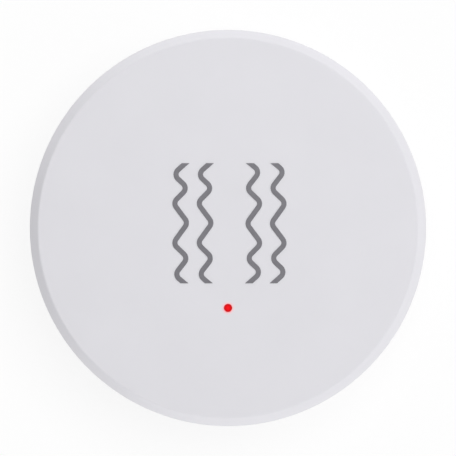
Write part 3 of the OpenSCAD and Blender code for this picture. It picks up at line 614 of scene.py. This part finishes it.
pad_side = foam_edge(pad_box.high.x - PAD_INSET, pad_box.low.z, pad_box.high.z, bulge=0.06, round_over=0.18)
pad_outline = [[0, pad_box.low.z], *pad_side, [0, pad_box.high.z]]
pad_mesh = turned_mesh("adhesive_pad_foam", pad_outline, steps=160, ripple=slow_ripple(0.03, (5, 9, 14)))
pad = new_piece("adhesive_pad_foam", pad_mesh, "base", adhesive_foam(pad_box.low.z))
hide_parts("adhesive_pad")

gasket_heights = (gasket_box.low.z, gasket_box.high.z - GASKET_ROOM)
gasket_r = gasket_box.high.x - GASKET_INSET
gasket_in_r = gasket_box.high.x - GASKET_W + GASKET_INSET
gasket_outline = [
    *foam_edge(gasket_r, *gasket_heights, bulge=0.04, round_over=0.14),
    *foam_edge(gasket_in_r, *gasket_heights, bulge=0.04, round_over=0.14, out=-1)[::-1],
]
gasket_mesh = turned_mesh("foam_gasket_ring", gasket_outline, steps=200, ripple=slow_ripple(0.015, (4, 11)))
gasket_look = foam("gasket_foam", GASKET_FOAM, shade=0.15, cell=0.16)
gasket = new_piece("foam_gasket_ring", gasket_mesh, "seal", gasket_look)
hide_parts("foam_gasket")

# Solder on every joint of the board

# Fillets: width, reach from the terminal and height up it
RESISTOR_SOLDER = (0.84, 0.4, 0.3)
CAPACITOR_SOLDER = (0.84, 0.4, 0.48)
LEG_SOLDER = (0.5, 0.3, 0.12)
SWITCH_SOLDER = (3.0, 0.4, 0.17)
LAMP_SOLDER = (0.8, 0.32, 0.2)
EDGE_SOLDER = (0.62, 0.75, 0.5)
CONTACT_SOLDER = (4.8, 0.5, 0.26)
# Least thickness of a fillet, and the shares by which it flares along its length and draws in at its toe
FILM = 0.03
FLARE = 0.2
TOE_ROUND = 0.35
# How far inside the module's edge its fillets start
EDGE_SOLDER_INSET = 0.3
# Solder round a lead: radius at the board, radius at its tip, and height
LEAD_SOLDER = (0.85, 0.34, 0.42)


def edge_loop(grid):
    """The outer points of a grid, in order."""
    first, last = grid[0], grid[-1]
    right = [row[-1] for row in grid[1:-1]]
    left = [row[0] for row in grid[1:-1]]
    return first + right + last[::-1] + left[::-1]


def solder_fillet(build, foot, out, size, up=1):
    """A hollow-curved ramp of solder that runs from a terminal's foot out to its toe."""
    along_steps, across_steps = 5, 6
    width, reach, height = size
    out = Vector((*out, 0))
    side = Vector((-out.y, out.x, 0))
    top, bottom = [], []
    for i in range(along_steps + 1):
        far = i / along_steps
        top.append([])
        bottom.append([])
        for j in range(across_steps + 1):
            across = 2 * j / across_steps - 1
            rise = FILM + height * (1 - far) ** 2 * (1 - across ** 4)
            spread = across * width / 2 * (1 + FLARE * far - TOE_ROUND * far ** 4)
            point = Vector(foot) + out * reach * far + side * spread
            top[-1].append(build.verts.new((point + Vector((0, 0, up * rise))) * MM))
            bottom[-1].append(build.verts.new(point * MM))
    for i in range(along_steps):
        for j in range(across_steps):
            build.faces.new([top[i][j], top[i + 1][j], top[i + 1][j + 1], top[i][j + 1]])
            build.faces.new([bottom[i][j], bottom[i][j + 1], bottom[i + 1][j + 1], bottom[i + 1][j]])
    rim_top = edge_loop(top)
    rim_bottom = edge_loop(bottom)
    for i, corner in enumerate(rim_top):
        after = (i + 1) % len(rim_top)
        build.faces.new([corner, rim_top[after], rim_bottom[after], rim_bottom[i]])


def solder_cone(build, centre, size, up):
    """Solder drawn up round a lead."""
    steps, rings = 16, 5
    low_r, high_r, height = size
    loops = []
    for k in range(rings + 1):
        share = k / rings
        radius = high_r + (low_r - high_r) * (1 - share) ** 2
        loop = []
        for i in range(steps):
            angle = 2 * math.pi * i / steps
            point = Vector((radius * math.cos(angle), radius * math.sin(angle), up * height * share))
            loop.append(build.verts.new((Vector(centre) + point) * MM))
        loops.append(loop)
    for low, high in zip(loops, loops[1:]):
        for i in range(steps):
            after = (i + 1) % steps
            build.faces.new([low[i], low[after], high[after], high[i]])
    build.faces.new(loops[0])
    build.faces.new(loops[-1])


solder = bmesh.new()
top_z, under_z = board.high.z, board.low.z
for row, size in ((resistors, RESISTOR_SOLDER), (capacitors, CAPACITOR_SOLDER)):
    count = 1 + round((row.high.x - row.low.x - PART_W) / PART_PITCH)
    for i in range(count):
        x = row.low.x + PART_W / 2 + i * PART_PITCH
        solder_fillet(solder, (x, row.high.y, top_z), (0, 1), size)
        solder_fillet(solder, (x, row.low.y, top_z), (0, -1), size)
for y in (legs.middle.y - LEG_PITCH / 2, legs.middle.y + LEG_PITCH / 2):
    solder_fillet(solder, (legs.high.x, y, top_z), (1, 0), LEG_SOLDER)
solder_fillet(solder, (legs.low.x, legs.middle.y, top_z), (-1, 0), LEG_SOLDER)
for y, way in ((switch.low.y, -1), (switch.high.y, 1)):
    solder_fillet(solder, (switch.middle.x, y, top_z), (0, way), SWITCH_SOLDER)
for x, way in ((lamp.low.x, -1), (lamp.high.x, 1)):
    solder_fillet(solder, (x, lamp.middle.y, top_z), (way, 0), LAMP_SOLDER)
for x, way in ((module.low.x, -1), (module.high.x, 1)):
    for i in range(EDGE_COUNT):
        foot = (x - way * EDGE_SOLDER_INSET, shield.low.y + i * EDGE_PITCH, top_z)
        solder_fillet(solder, foot, (way, 0), EDGE_SOLDER)
solder_fillet(solder, (positive.high.x, 0, under_z), (1, 0), CONTACT_SOLDER, up=-1)
solder_fillet(solder, (0, negative.high.y, under_z), (0, 1), CONTACT_SOLDER, up=-1)
for y in (pin.high.y - LEAD_D / 2, stub.low.y + LEAD_D / 2):
    solder_cone(solder, (pin.middle.x, y, under_z), LEAD_SOLDER, up=-1)
solder_look = brushed(
    "solder", SOLDER, SOLDER_DULL, rough=(0.14, 0.3), stretch=ALL_WAYS, line=0.3, depth=0.004,
)
new_piece("solder_joints", smooth_mesh("solder_joints", solder), "housing", solder_look)

# Floor, lamps and camera

FLOOR_HALF = 2500
FLOOR_DROP = 0.02


def white_floor(shadow_depth, near, far):
    """White to the camera, with the object's shadow at part of its depth, which fades out from near to far.
    Only rays that can show the floor from above meet it, so that the underside can be looked at too."""
    floor = Surface("floor_white")
    depth = floor.span(floor.from_axis(0, 0), near, far, shadow_depth, 0.0)
    white = floor.add("Emission", {"Strength": 1.0})
    shade = floor.add("BsdfDiffuse", {"Color": rgba(FLOOR_WHITE)})
    shown = floor.add("MixShader", {0: depth, 1: white, 2: shade})
    above = floor.math("SUBTRACT", 1.0, floor.add("NewGeometry").outputs["Backfacing"])
    met = floor.math("MULTIPLY", floor.backdrop_rays(), above)
    floor.show(floor.add("MixShader", {0: met, 1: floor.add("BsdfTransparent"), 2: shown}))
    return floor.material


def soft_world(above, below, level, deep):
    """White to the camera and in reflections. Its light has the strength above down to the level height of
    a unit sphere, and from there changes to the strength below at the deep height."""
    world = bpy.data.worlds.new("studio")
    world.use_nodes = True
    bpy.context.scene.world = world
    sky = Nodes(world.node_tree)
    height = sky.add("SeparateXYZ", {0: sky.add("TexCoord").outputs["Generated"]}).outputs[2]
    light = sky.span(height, deep, level, below, above)
    strength = sky.between(sky.backdrop_rays(), light, 1.0)
    background = sky.add("Background", {"Color": rgba(WHITE), "Strength": strength})
    sky.add("OutputWorld", {"Surface": background})


def softbox(name, azimuth, elevation, share, side=300, distance=450):
    """A square lamp that adds a share of full light to a surface that faces it. Azimuth 0 is to the right
    of the face, and 90 is at its top."""
    light = bpy.data.lights.new(name, "AREA")
    light.size = side * MM
    light.energy = math.pi ** 2 * (distance * MM) ** 2 * share
    turn, rise = math.radians(azimuth), math.radians(elevation)
    back = Vector((math.cos(turn) * math.cos(rise), math.sin(turn) * math.cos(rise), math.sin(rise)))
    holder = bpy.data.objects.new(name, light)
    holder.location = back * distance * MM
    holder.rotation_euler = back.to_track_quat("Z", "Y").to_euler()
    bpy.context.scene.collection.objects.link(holder)


floor_mesh = bpy.data.meshes.new("floor")
floor_corners = [
    (x * FLOOR_HALF * MM, y * FLOOR_HALF * MM, -FLOOR_DROP * MM)
    for x, y in ((-1, -1), (1, -1), (1, 1), (-1, 1))
]
floor_mesh.from_pydata(floor_corners, [], [(0, 1, 2, 3)])
floor_mesh.materials.append(white_floor(shadow_depth=0.16, near=26, far=70))
floor = bpy.data.objects.new("floor", floor_mesh)
bpy.context.scene.collection.objects.link(floor)

soft_world(above=0.3, below=0.85, level=-0.1, deep=-0.7)
softbox("overhead", azimuth=45, elevation=72, share=0.58)
softbox("right", azimuth=0, elevation=7, share=0.335)
softbox("top", azimuth=108, elevation=7, share=0.375)
softbox("bottom", azimuth=261, elevation=7, share=0.505)

# Width of the photograph's view, and the height near the bevel's foot at which it is that wide
VIEW_WIDTH = 57.48
VIEW_Z = 13.5
LENS = 200
SENSOR = 36
CLIP_START = 10
camera_data = bpy.data.cameras.new("camera")
camera_data.lens = LENS
camera_data.sensor_width = SENSOR
camera_data.clip_start = CLIP_START * MM
camera = bpy.data.objects.new("camera", camera_data)
camera.location = (0, 0, (VIEW_Z + VIEW_WIDTH * LENS / SENSOR) * MM)
bpy.context.scene.collection.objects.link(camera)
bpy.context.scene.camera = camera
bpy.context.scene.view_settings.view_transform = "Standard"
